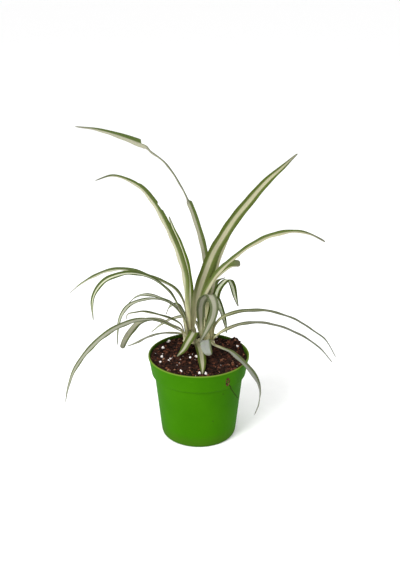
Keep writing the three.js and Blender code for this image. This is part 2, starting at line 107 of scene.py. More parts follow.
def lathe(outline, sides):
    """Points and faces of an outline turned round Z. Its two ends lie on the axis."""
    ring = [2 * math.pi * k / sides for k in range(sides)]
    points = [(r * math.cos(a), r * math.sin(a), z) for r, z in outline[1:-1] for a in ring]
    ends = [(0, 0, outline[0][1]), (0, 0, outline[-1][1])]
    return points + ends, turned_faces(len(points), sides)


def new_object(name, points, faces, *materials):
    """A smooth mesh object from points in millimetres."""
    mesh = bpy.data.meshes.new(name)
    mesh.from_pydata([Vector(p) * MM for p in points], [], faces)
    for material in materials:
        mesh.materials.append(material)
    mesh.shade_smooth()
    made = bpy.data.objects.new(name, mesh)
    bpy.context.scene.collection.objects.link(made)
    return made


def tube_faces(rings, sides, first=0):
    """Faces of rings of points, from a first point on, with a flat face at either end."""
    last = first + (rings - 1) * sides
    faces = []
    for row in range(first, last, sides):
        for k in range(sides):
            after = (k + 1) % sides
            faces.append((row + k, row + sides + k, row + sides + after, row + after))
    ends = [tuple(range(first, first + sides)), tuple(range(last + sides - 1, last - 1, -1))]
    return faces + ends


def drain_cutters():
    """Bars that lie along the floor's radii, with a rounded top, to cut the slots."""
    half = DRAIN_WIDTH / 2
    quarter = [math.pi / 8 * step for step in range(5)]
    arc = [(half - DRAIN_CORNER * (1 - math.cos(a)),
            DRAIN_HEIGHT - DRAIN_CORNER * (1 - math.sin(a))) for a in quarter]
    section = [(half, -CUT_MARGIN), *arc, *[(-y, z) for y, z in reversed(arc)],
               (-half, -CUT_MARGIN)]
    points, faces = [], []
    for index in range(DRAIN_COUNT):
        turn = math.radians(DRAIN_FIRST_ANGLE + index * 360 / DRAIN_COUNT)
        faces += tube_faces(2, len(section), len(points))
        for reach in (DRAIN_INNER_RADIUS, HEEL_RADIUS + CUT_MARGIN):
            for y, z in section:
                points.append((reach * math.cos(turn) - y * math.sin(turn),
                               reach * math.sin(turn) + y * math.cos(turn), z))
    return points, faces


def linear(colour):
    """An sRGB hex colour as the linear RGBA that the sockets take."""
    channels = [int(colour[i:i + 2], 16) / 255 for i in (1, 3, 5)]
    return [c / 12.92 if c <= 0.04045 else ((c + 0.055) / 1.055) ** 2.4 for c in channels] + [1]


def add(tree, kind, inputs=None, stops=None, **settings):
    """Adds a node with its settings, its colour stops, and a value, a socket or a node, whose
    first output is linked, for each input."""
    node = tree.nodes.new("ShaderNode" + kind)
    for key, value in settings.items():
        setattr(node, key, value)
    for key, value in (inputs or {}).items():
        if isinstance(value, bpy.types.Node):
            value = value.outputs[0]
        if isinstance(value, bpy.types.NodeSocket):
            tree.links.new(value, node.inputs[key])
        else:
            node.inputs[key].default_value = value
    if stops:
        elements = node.color_ramp.elements
        while len(elements) < len(stops):
            elements.new(1)
        for element, (place, colour) in zip(elements, stops):
            element.position = place
            element.color = linear(colour)
    return node


def new_material(name):
    material = bpy.data.materials.new(name)
    material.use_nodes = True
    material.node_tree.nodes.clear()
    return material, material.node_tree


def per_metre(size):
    """A texture's scale for a pattern of a size in millimetres."""
    return 1 / (size * MM)


def moulded_polypropylene():
    """Dyed polypropylene from a polished mould: an even colour with faint flow marks, scuffs
    that run round the wall, a paler lip that is partly wear and partly a painted highlight,
    painted shade tinted like soil on the inner wall above the soil, and soil dust by the foot.
    Its grain is drawn some ten times as coarse as it is, or it wouldn't show."""
    material, tree = new_material("moulded_polypropylene")
    place = add(tree, "TexCoord").outputs["Object"]
    height = add(tree, "SeparateXYZ", {0: place}).outputs["Z"]
    flow = add(tree, "TexNoise", {"Vector": place, "Scale": per_metre(36), "Detail": 3})
    along_wall = add(tree, "Mapping", {
        "Vector": place, "Scale": (per_metre(11), per_metre(11), per_metre(0.9))})
    scuffs = add(tree, "TexNoise", {"Vector": along_wall, "Scale": 1, "Detail": 4})
    colour = add(tree, "ValToRGB", {0: flow}, [(0.3, "#2b5f00"), (0.7, "#306500")])
    scuffed = add(tree, "MapRange", {0: scuffs, 1: 0.62, 2: 0.8, 3: 0, 4: 0.25})
    # a paler band at the top of the lip: partly wear, partly a painted highlight on the rim
    wear_and_painted_highlight = add(tree, "MapRange", {
        0: height, 1: (POT_HEIGHT - 1.2) * MM, 2: (POT_HEIGHT - 0.2) * MM, 3: 0, 4: 0.7})
    specks = add(tree, "TexNoise", {"Vector": place, "Scale": per_metre(2.4), "Detail": 2})
    low = add(tree, "MapRange", {0: height, 1: 0, 2: DUST_HEIGHT * MM, 3: 0.5, 4: 0})
    dusty = add(tree, "Math", {0: specks, 1: low}, operation="MULTIPLY")
    outside = add(tree, "MapRange", {
        0: height, 1: COLLAR_FOOT[1] * MM, 2: COLLAR_TOP[1] * MM,
        3: COLLAR_FOOT[0] * MM, 4: COLLAR_TOP[0] * MM})
    flat_place = add(tree, "VectorMath", {0: place, 1: (1, 1, 0)}, operation="MULTIPLY")
    radius = add(tree, "VectorMath", {0: flat_place}, operation="LENGTH")
    inside = add(tree, "Math", {0: radius.outputs["Value"], 1: outside}, operation="LESS_THAN")
    # painted shade on the inner wall between the lip and the soil, tinted a dark soil brown
    above = add(tree, "MapRange", {
        0: height, 1: PAINTED_SHADE_FROM * MM, 2: (PAINTED_SHADE_FROM + 0.4) * MM, 3: 0, 4: 0.55})
    painted_inner_shade = add(tree, "Math", {0: inside, 1: above}, operation="MULTIPLY")
    # in turn: scuffs, the lip's wear and painted highlight, dust by the foot, and the painted
    # shade inside
    for share, tint in ((scuffed, "#4b7d12"), (wear_and_painted_highlight, "#6b7c32"), (dusty, "#4a3a22"),
                        (painted_inner_shade, "#241c10")):
        coat = add(tree, "Mix", {0: share, 6: colour, 7: linear(tint)}, data_type="RGBA")
        colour = coat.outputs[2]
    rough = add(tree, "MapRange", {0: scuffs, 1: 0.3, 2: 0.8, 3: 0.5, 4: 0.66})
    grain = add(tree, "TexNoise", {"Vector": place, "Scale": per_metre(1.1), "Detail": 2})
    bumps = add(tree, "Bump", {"Height": grain, "Strength": 0.25, "Distance": 0.05 * MM})
    shader = add(tree, "BsdfPrincipled", {
        "Base Color": colour, "Roughness": rough, "IOR": 1.49, "Specular IOR Level": 0.02,
        "Normal": bumps})
    add(tree, "OutputMaterial", {"Surface": shader})
    return material


POT_PROFILE = rounded([(0, 0, 0), *POT_UNDERSIDE, *POT_OUTSIDE, *POT_INSIDE, (0, FLOOR_TOP, 0)])
pot = new_object("nursery_pot", *lathe(POT_PROFILE, POT_SIDES), moulded_polypropylene())
cutters = new_object("drain_cutters", *drain_cutters())
cut = pot.modifiers.new("drain_slots", "BOOLEAN")
cut.operation = "DIFFERENCE"
cut.solver = "EXACT"
cut.object = cutters
bpy.context.view_layer.objects.active = pot
bpy.ops.object.modifier_apply(modifier=cut.name)
bpy.data.objects.remove(cutters)
pot.data.shade_smooth()
pot.data.set_sharp_from_angle(angle=math.radians(40))
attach(pot, "root")
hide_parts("pot")

# ---- Potting soil -------------------------------------------------------------------
# Dark peat with composted bark and perlite, filled in loosely by hand: drawn up round
# the two plantlets, with a loose heap left against the rim at the right rear. The peat
# is one closed mass; crumbs of bark and grains of perlite lie half sunk in it.
SOIL_FLOOR = 2.5
SOIL_LEVEL = 87.5
SOIL_EDGE = [(38.3, SOIL_FLOOR), (39.1, 4.5), (39.9, 12), (45.9, 70.7), (48.9, 72.8), (51.2, 87)]
SOIL_RINGS = 84
SOIL_RING_SPREAD = 0.8  # under 1, the outer rings lie closer together
SOIL_SECTORS = 300
CROWN_CENTRES = {"left": (-9.5, 31), "right": (9.5, 29)}
CROWN_RADIUS = 8.4
MOUND_HEIGHT = 4.3
MOUND_REACH = 13
HEAP_CENTRE = (39, 26)
HEAP_HEIGHT = 8.5
HEAP_REACH = 9
BANK_HEIGHT = 1.8  # how far the soil stands up against the wall at the left and rear
BANK_FROM, BANK_TO = 36, 50  # radii between which it rises
BANK_SLANT, BANK_START, BANK_END = 0.6, -30, 15  # where it sets in, from the front right
CLOD_SEED = 20
CLOD_COUNT = 60
CLOD_RIM_MARGIN = 8
CLOD_REACH = (3, 6)
CLOD_HEIGHT = (-0.9, 1.3)
CLOD_CLEAR = (1, 6)  # clods fade out between these distances from a crown
PRESSED_CRUMBS = [(6.0, 1.1), (2.6, 0.9), (1.1, 0.45)]  # (size, relief)

CRUMB_SEED = 41
CRUMB_COUNT = 1500
HEAP_CRUMB_COUNT = 260
CRUMB_SPREAD, HEAP_CRUMB_SPREAD = 50.2, 50.6  # radii that crumbs stay within
CRUMB_SIZES = [(0.45, 1.1, 2.5), (0.6, 1.3, 2)]  # least, range and crowding to the least
CRUMB_LENGTH, CRUMB_HEIGHT = (0.9, 1.7), (0.35, 0.9)  # as shares of their size
BIG_GRAINS = [  # (x, y) of the larger grains of perlite
    (-39, 18.5), (-39.5, -2), (-30, -4.5), (-32, -10), (-40.5, -14), (-18.5, -32.5), (-9, -1.5),
    (-2.5, 1), (1, -38), (7.5, -39.5), (42, 18), (-33, 34), (-14, 46), (20, 44),
]
SMALL_GRAIN_COUNT = 30
GRAIN_SPREAD = 49
BIG_GRAIN_SIZE, SMALL_GRAIN_SIZE = (1.1, 1.6), (0.25, 0.6)
PERLITE_SEED = 5


def smoothstep(x, low, high):
    t = np.clip((x - low) / (high - low), 0, 1)
    return t * t * (3 - 2 * t)


def solid_clods():
    """The clods of the solid soil, drawn from the same congruential numbers."""
    state = CLOD_SEED
    draws = []
    for _ in range(4 * CLOD_COUNT):
        state = (state * 1664525 + 1013904223) % 2 ** 32
        draws.append(state / 2 ** 32)
    clods = []
    for turn, reach, away, height in zip(*[iter(draws)] * 4):
        angle, distance = turn * 2 * math.pi, (RIM_RADIUS - CLOD_RIM_MARGIN) * math.sqrt(away)
        sizes = (low + (high - low) * u for (low, high), u in
                 ((CLOD_REACH, reach), (CLOD_HEIGHT, height)))
        clods.append((distance * math.cos(angle), distance * math.sin(angle), *sizes))
    return clods


CLODS = solid_clods()


def soil_height(x, y):
    """Height of the soil's surface, with the mounds, the heap and the larger clods."""
    near = min(math.hypot(x - cx, y - cy) for cx, cy in CROWN_CENTRES.values()) - CROWN_RADIUS
    mound = MOUND_HEIGHT * (1 - smoothstep(near, 0, MOUND_REACH))
    away = (x - HEAP_CENTRE[0]) ** 2 + (y - HEAP_CENTRE[1]) ** 2
    heap = HEAP_HEIGHT * math.exp(-away / HEAP_REACH ** 2)
    loose = sum(height * math.exp(-((x - cx) ** 2 + (y - cy) ** 2) / reach ** 2)
                for cx, cy, reach, height in CLODS)
    bank = (BANK_HEIGHT * smoothstep(math.hypot(x, y), BANK_FROM, BANK_TO)
            * smoothstep(y - BANK_SLANT * x, BANK_START, BANK_END))
    return SOIL_LEVEL + max(mound, heap, bank) + smoothstep(near, *CLOD_CLEAR) * loose


def crumbled(x, y):
    """The surface with the crumbs that are pressed into it."""
    relief = 0
    for size, depth in PRESSED_CRUMBS:
        distances, _ = noise.voronoi(Vector((x / size, y / size, size)))
        relief += depth * (0.55 - distances[0])
    return soil_height(x, y) + relief


def peat_mass():
    edge = SOIL_EDGE[-1][0]
    top = [(edge * (k / SOIL_RINGS) ** SOIL_RING_SPREAD, None) for k in range(SOIL_RINGS, 0, -1)]
    ring = [2 * math.pi * k / SOIL_SECTORS for k in range(SOIL_SECTORS)]
    points = []
    for radius, height in SOIL_EDGE + top:
        for angle in ring:
            x, y = radius * math.cos(angle), radius * math.sin(angle)
            points.append((x, y, crumbled(x, y) if height is None else height))
    ends = [(0, 0, SOIL_FLOOR), (0, 0, crumbled(0, 0))]
    return points + ends, turned_faces(len(points), SOIL_SECTORS)


def ball(steps):
    """Unit points and triangles of a geodesic ball."""
    made = bmesh.new()
    bmesh.ops.create_icosphere(made, subdivisions=steps, radius=1)
    points = np.array([v.co for v in made.verts])
    faces = [[v.index for v in f.verts] for f in made.faces]
    made.free()
    return points, faces


def lumps(spots, steps, roughness):
    """Irregular lumps in one mesh, from (centre, half sizes, turn, tone) each, with each
    lump's tone on its points."""
    sphere, sphere_faces = ball(steps)
    points, faces, tones = [], [], []
    for index, (centre, half_sizes, turn, tone) in enumerate(spots):
        first = len(points)
        spin = np.array(Euler(turn).to_matrix())
        for point in sphere:
            bulge = 1 + roughness * noise.noise(Vector(point * 1.7) + Vector((index, 0, 7)))
            points.append(spin @ (point * bulge * half_sizes) + centre)
        faces += [[first + k for k in face] for face in sphere_faces]
        tones += [tone] * len(sphere)
    return points, faces, tones


def set_attribute(made, name, values):
    """Keeps one number a point on the mesh, for its material to read."""
    attribute = made.data.attributes.new(name, "FLOAT", "POINT")
    attribute.data.foreach_set("value", np.asarray(values, np.float32))


def damp_peat():
    """Damp peat: nearly black where it is wet, rust brown where bark fibre shows, and
    dull all over, with fibres 0.7 mm apart in its grain."""
    material, tree = new_material("damp_peat")
    place = add(tree, "TexCoord").outputs["Object"]
    patches = add(tree, "TexNoise", {
        "Vector": place, "Scale": per_metre(5.9), "Detail": 5, "Roughness": 0.65})
    colour = add(tree, "ValToRGB", {0: patches}, [
        (0.3, "#150e0a"), (0.46, "#211410"), (0.6, "#3a2218"), (0.75, "#603a28")])
    fibres = add(tree, "TexNoise", {
        "Vector": place, "Scale": per_metre(0.7), "Detail": 4, "Roughness": 0.7})
    wet = add(tree, "MapRange", {0: patches, 1: 0.3, 2: 0.65, 3: 0.62, 4: 0.95})
    bumps = add(tree, "Bump", {"Height": fibres, "Strength": 0.9, "Distance": 0.4 * MM})
    shader = add(tree, "BsdfPrincipled", {
        "Base Color": colour, "Roughness": wet, "Specular IOR Level": 0.06,
        "Normal": bumps})
    add(tree, "OutputMaterial", {"Surface": shader})
    return material


def composted_bark():
    """Crumbs of bark and peat, each of its own brown, rough and split along the fibre."""
    material, tree = new_material("composted_bark")
    place = add(tree, "TexCoord").outputs["Object"]
    tone = add(tree, "Attribute", attribute_name="tone").outputs["Fac"]
    mottled = add(tree, "TexNoise", {"Vector": place, "Scale": per_metre(1.1), "Detail": 3})
    spread = add(tree, "MapRange", {0: mottled, 1: 0.3, 2: 0.7, 3: -0.15, 4: 0.15})
    mixed = add(tree, "Math", {0: tone, 1: spread}, operation="ADD")
    colour = add(tree, "ValToRGB", {0: mixed}, [
        (0.0, "#150d0a"), (0.4, "#2c1a14"), (0.7, "#4e2c1f"), (0.9, "#633b29"), (1.0, "#7c5c48")])
    bumps = add(tree, "Bump", {"Height": mottled, "Strength": 0.8, "Distance": 0.3 * MM})
    shader = add(tree, "BsdfPrincipled", {
        "Base Color": colour, "Roughness": 0.88, "Specular IOR Level": 0.06,
        "Normal": bumps})
    add(tree, "OutputMaterial", {"Surface": shader})
    return material


def expanded_perlite():
    """Perlite: volcanic glass popped by heat, a matt chalky white with soil in its pores."""
    material, tree = new_material("expanded_perlite")
    place = add(tree, "TexCoord").outputs["Object"]
    pores = add(tree, "TexVoronoi", {"Vector": place, "Scale": per_metre(0.45)})
    stain = add(tree, "TexNoise", {"Vector": place, "Scale": per_metre(1.4), "Detail": 2})
    colour = add(tree, "ValToRGB", {0: stain}, [
        (0.32, "#a98f86"), (0.45, "#ded6d2"), (0.7, "#f7f5f4")])
    bumps = add(tree, "Bump", {"Height": pores, "Strength": 0.7, "Distance": 0.2 * MM})
    shader = add(tree, "BsdfPrincipled", {
        "Base Color": colour, "Roughness": 0.9, "Normal": bumps})
    add(tree, "OutputMaterial", {"Surface": shader})
    return material


def crumb_spots():
    """Crumbs strewn over the soil, and larger ones on the heap."""
    draw = random.Random(CRUMB_SEED)
    spots = []
    for index in range(CRUMB_COUNT + HEAP_CRUMB_COUNT):
        if index < CRUMB_COUNT:
            angle, away = draw.uniform(0, 2 * math.pi), CRUMB_SPREAD * math.sqrt(draw.random())
            x, y = away * math.cos(angle), away * math.sin(angle)
        else:
            x, y = (draw.gauss(c, 0.55 * HEAP_REACH) for c in HEAP_CENTRE)
        least, extra, crowding = CRUMB_SIZES[index >= CRUMB_COUNT]
        size = least + extra * draw.random() ** crowding
        inwards = min(1, HEAP_CRUMB_SPREAD / math.hypot(x, y))
        x, y = x * inwards, y * inwards
        flat = draw.uniform(*CRUMB_HEIGHT)
        half_sizes = np.array([size * draw.uniform(*CRUMB_LENGTH), size, size * flat])
        centre = np.array([x, y, crumbled(x, y) + 0.3 * size * flat])
        turn = [draw.uniform(-0.6, 0.6), draw.uniform(-0.6, 0.6), draw.uniform(0, math.pi)]
        spots.append((centre, half_sizes, turn, draw.random() ** 1.9))
    return spots


def grain_spots():
    """The large grains at their places, and small ones strewn between them."""
    draw = random.Random(PERLITE_SEED)
    spots = []
    for index in range(len(BIG_GRAINS) + SMALL_GRAIN_COUNT):
        if index < len(BIG_GRAINS):
            x, y = BIG_GRAINS[index]
            size = draw.uniform(*BIG_GRAIN_SIZE)
        else:
            angle, away = draw.uniform(0, 2 * math.pi), GRAIN_SPREAD * math.sqrt(draw.random())
            x, y = away * math.cos(angle), away * math.sin(angle)
            size = draw.uniform(*SMALL_GRAIN_SIZE)
        half_sizes = np.array([size * draw.uniform(0.85, 1.15) for _ in range(3)])
        centre = np.array([x, y, crumbled(x, y) + 0.45 * size])
        spots.append((centre, half_sizes, [draw.uniform(0, math.pi) for _ in range(3)], 1))
    return spots


peat = new_object("peat", *peat_mass(), damp_peat())
crumb_points, crumb_faces, crumb_tones = lumps(crumb_spots(), 2, 0.7)
crumbs = new_object("bark_crumbs", crumb_points, crumb_faces, composted_bark())
set_attribute(crumbs, "tone", crumb_tones)
grain_points, grain_faces, _ = lumps(grain_spots(), 3, 0.45)
grains = new_object("perlite_grains", grain_points, grain_faces, expanded_perlite())
for piece in (peat, crumbs, grains):
    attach(piece, "root")
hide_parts("potting_soil")

# ---- Dirt on the wall ---------------------------------------------------------------
# A crust of soil that has dried under the lip at the right front, a dead root that
# clings to the wall below it, and two specks, all left from the day of potting.
CRUST_CENTRE = (-54.7, 80.4)  # (degrees from +X, height)
CRUST_HALF_SIZE = (2.3, 5.2)
CRUST_CRUMB_COUNT = 120
CRUST_SEED = 8
DEAD_ROOT = [
    (-51.5, 75), (-47.5, 70.4), (-42.7, 65.9), (-35.2, 58.1), (-25.6, 49.1), (-21.3, 47.8)]
DEAD_ROOT_RADIUS = 0.42
DEAD_ROOT_STAND = 0.12
DEAD_ROOT_WAVER = 0.5  # degrees to either side
DEAD_ROOT_SIDES = 8
DEAD_ROOT_STEPS = 60
WALL_SPECKS = [(-57.4, 64.6), (-69.9, 33.3)]
SPECK_SIZE = 0.6
DIRT_STAND = 0.05  # how far the middles of the crumbs stand off the wall


def on_wall(angle, height, stand=0):
    """The point of the outer wall at an angle in degrees and a height."""
    radius = np.interp(height, [p[1] for p in POT_OUTSIDE], [p[0] for p in POT_OUTSIDE]) + stand
    turn = math.radians(angle)
    return np.array([radius * math.cos(turn), radius * math.sin(turn), height])


def wall_dirt_spots():
    """Crumbs pressed flat on the wall, thickest round the edge of the crust."""
    draw = random.Random(CRUST_SEED)
    spots = []
    for _ in range(CRUST_CRUMB_COUNT):
        turn, away = draw.uniform(0, 2 * math.pi), 0.55 + 0.45 * draw.random()
        along = away * CRUST_HALF_SIZE[0] * math.cos(turn)
        up = away * CRUST_HALF_SIZE[1] * math.sin(turn)
        angle = CRUST_CENTRE[0] + math.degrees(along / RIM_RADIUS) - 0.12 * up
        size = draw.uniform(0.35, 0.65)
        half_sizes = np.array([size * 0.45, size * 1.2, size])
        turn = [draw.uniform(-0.5, 0.5), 0, math.radians(angle)]
        spots.append((on_wall(angle, CRUST_CENTRE[1] + up, DIRT_STAND), half_sizes, turn,
                      0.35 + 0.6 * draw.random()))
    for angle, height in WALL_SPECKS:
        half_sizes = np.array([0.4, 1, 0.7]) * SPECK_SIZE
        turn = [0, 0, math.radians(angle)]
        spots.append((on_wall(angle, height, DIRT_STAND), half_sizes, turn, 0.2))
    return spots


def dead_root():
    """A closed thread that follows the wall and thins out to its far end."""
    places = np.linspace(0, len(DEAD_ROOT) - 1, DEAD_ROOT_STEPS)
    knots = np.array(DEAD_ROOT, float)
    angles, heights = (np.interp(places, range(len(DEAD_ROOT)), knots[:, k]) for k in (0, 1))
    path = [on_wall(a + DEAD_ROOT_WAVER * math.sin(1.9 * p), h, DEAD_ROOT_STAND)
            for a, h, p in zip(angles, heights, places)]
    points = []
    for k, centre in enumerate(path):
        ahead = path[min(k + 1, len(path) - 1)] - path[max(k - 1, 0)]
        out = np.array([centre[0], centre[1], 0]) / math.hypot(centre[0], centre[1])
        across = np.cross(out, ahead / np.linalg.norm(ahead))
        thick = DEAD_ROOT_RADIUS * (1 - 0.5 * k / len(path))
        for side in range(DEAD_ROOT_SIDES):
            turn = 2 * math.pi * side / DEAD_ROOT_SIDES
            points.append(centre + thick * (across * math.cos(turn) + out * math.sin(turn)))
    return points, tube_faces(len(path), DEAD_ROOT_SIDES)


bark = bpy.data.materials["composted_bark"]
dirt_points, dirt_faces, dirt_tones = lumps(wall_dirt_spots(), 2, 0.6)
dirt = new_object("wall_dirt", dirt_points, dirt_faces, bark)
set_attribute(dirt, "tone", dirt_tones)
root_points, root_faces = dead_root()
root_thread = new_object("dead_root", root_points, root_faces, bark)
set_attribute(root_thread, "tone", [0.3] * len(root_points))
for piece in (dirt, root_thread):
    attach(piece, "root")

# ---- Crowns -------------------------------------------------------------------------
# The short stem of each rooted plantlet, pushed into the soil. It is pale firm tissue,
# wrapped in the torn sheaths of leaves that have gone, and the leaf bases stand round it.
CROWN_TOP = 93.4
CROWN_ROOT = [(1.8, 61.5, 1), (4.4, 70, 2), (7.4, 82, 3), (CROWN_RADIUS, 88, 3)]
CROWN_RINGS = [(8.3, 92.6, 0.4), (6.4, 93.2, 0.4), (4.2, 93.9, 0.4), (2.2, 94.6, 0.4)]
CROWN_SIDES = 96
SHEATH_EDGES = 5  # torn sheaths round the stem
SHEATH_RELIEF = 0.05  # depth of their folds as a share of the stem's radius
TORN_RELIEF = 0.5
TORN_FROM, TORN_TO = 91, 94  # heights between which their torn edges set in
STAINED_TO, CLEAN_FROM = 89.5, 93.5  # heights between which the soil's stain fades


def crown_tissue():
    """Living stem tissue under dry sheaths: cream, stained by the soil lower down, with
    fine ribs up and down and a dull papery skin."""
    material, tree = new_material("sheathed_stem_tissue")
    place = add(tree, "TexCoord").outputs["Object"]
    height = add(tree, "SeparateXYZ", {0: place}).outputs["Z"]
    upright = add(tree, "Mapping", {
        "Vector": place, "Scale": (per_metre(0.67), per_metre(0.67), per_metre(11))})
    ribs = add(tree, "TexNoise", {"Vector": upright, "Scale": 1, "Detail": 3})
    skin = add(tree, "ValToRGB", {0: ribs}, [
        (0.3, "#b0ac80"), (0.5, "#d2cca2"), (0.7, "#e2dcba")])
    buried = add(tree, "MapRange", {
        0: height, 1: STAINED_TO * MM, 2: CLEAN_FROM * MM, 3: 0.75, 4: 0})
    colour = add(tree, "Mix", {0: buried, 6: skin, 7: linear("#4b3426")}, data_type="RGBA")
    bumps = add(tree, "Bump", {"Height": ribs, "Strength": 0.6, "Distance": 0.3 * MM})
    shader = add(tree, "BsdfPrincipled", {
        "Base Color": colour.outputs[2], "Roughness": 0.62, "Normal": bumps})
    add(tree, "OutputMaterial", {"Surface": shader})
    return material


stem_tissue = crown_tissue()
for number, (side, (x, y)) in enumerate(CROWN_CENTRES.items()):
    profile = rounded([(0, 60, 0), *CROWN_ROOT, *CROWN_RINGS, (0, 94.9, 0)])
    points, faces = lathe(profile, CROWN_SIDES)
    sheathed = []
    for px, py, pz in points:
        angle = math.atan2(py, px)
        folds = math.cos(SHEATH_EDGES * angle + 2.5 * number + 0.25 * pz)
        swell = 1 - SHEATH_RELIEF * (1 - folds)
        ragged = TORN_RELIEF * noise.noise(Vector((px, py, number)) * 0.6)
        sheathed.append((x + px * swell, y + py * swell,
                         pz + ragged * smoothstep(pz, TORN_FROM, TORN_TO)))
    stem = new_object(f"{side}_stem", sheathed, faces, stem_tissue)
    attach(stem, "root")
    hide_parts(f"{side}_crown")

# ---- Leaves -------------------------------------------------------------------------
# Long thin strap leaves that rise from the crown and arch over. Each is channelled along
# its midrib, cream down the middle and green at both margins, with fine parallel veins,
# waved margins and a dull underside. The foot of each sheathes the crown.
SEATS = [  # rings of leaf bases round a crown: (radius, width, rise)
    (2.4, 3.8, 1.4),
    (4.6, 4.7, 0.7),
    (6.9, 5.2, 0),
]
SEAT_DEPTH = 4.5
COLLAR_OUT, COLLAR_UP = 0.4, 2.5  # where a leaf base starts to lean outwards
HALF_THICKNESS = 0.4  # at the middle of a blade
MARGIN_THINNING = 0.6  # share of the thickness that is gone at the margins
ROW_STEP = 2.2  # between the rows of points across a blade
COLUMN_STEP = 0.5
TIP_ROWS = (0.2, 0.6, 1.2, 2)  # more rows, at these distances from the tip
POINT_ROUND = 0.02  # share of a pointed leaf's length that its tip closes over
BLUNT_ROUND = 0.3  # length of a blunt tip's rounding as a share of the width
BLUNT_END = 0.25  # share of the width that ends squarely
FOOT_SHARE = 0.78  # most of a leaf's width that its foot may have
SHAPE_EASE = 0.06  # share of a leaf over which its width is smoothed, either way
SETTLE = 0.22  # share of a leaf over which its foot opens out into the blade
TIP_TURN = 0.4  # share of the margins' turn that is left at the tip
MEAN_LIFT = 0.17  # keeps the middle of a channelled blade on its route
MIDRIB_WIDTH, MIDRIB_DEPTH = 0.5, 0.16
KEEL = 1.3  # how much more the midrib stands out below
PLEAT_PITCH, PLEAT_DEPTH = 1.7, 0.035  # the larger veins
MARGIN_WAVE, MARGIN_WAVE_PITCH = 0.35, 27
PALE_AND_LIT_FOOT, PALE_AND_LIT_SHARE = 75, 0.3  # most of a length, and of its share, that the pale foot takes; it is paler than the leaf's own base, as painted light where the crowded leaf bases shade one another
LEAF_SEED = 12

# Width along a leaf as a share of its widest place, at equal steps from base to tip.
STRAP = [0.6, 0.85, 1, 1, 0.97, 0.91, 0.79, 0.55, 0.1]
BLUNT = [0.6, 0.85, 1, 1, 1, 1, 0.95, 0.85, 0.6]
CREASED = [0.7, 0.85, 0.8, 0.68, 0.64, 0.7, 1, 0.54, 0.08]
PADDLE = [0.6, 0.6, 0.6, 0.62, 0.66, 0.76, 0.95, 1, 0.75]
DRIED = [0.6, 0.85, 1, 1, 0.97, 0.91, 0.82, 0.66, 0.4]
STALKED = [0.5, 0.5, 0.65, 0.95, 1, 0.93, 0.8, 0.55, 0.1]

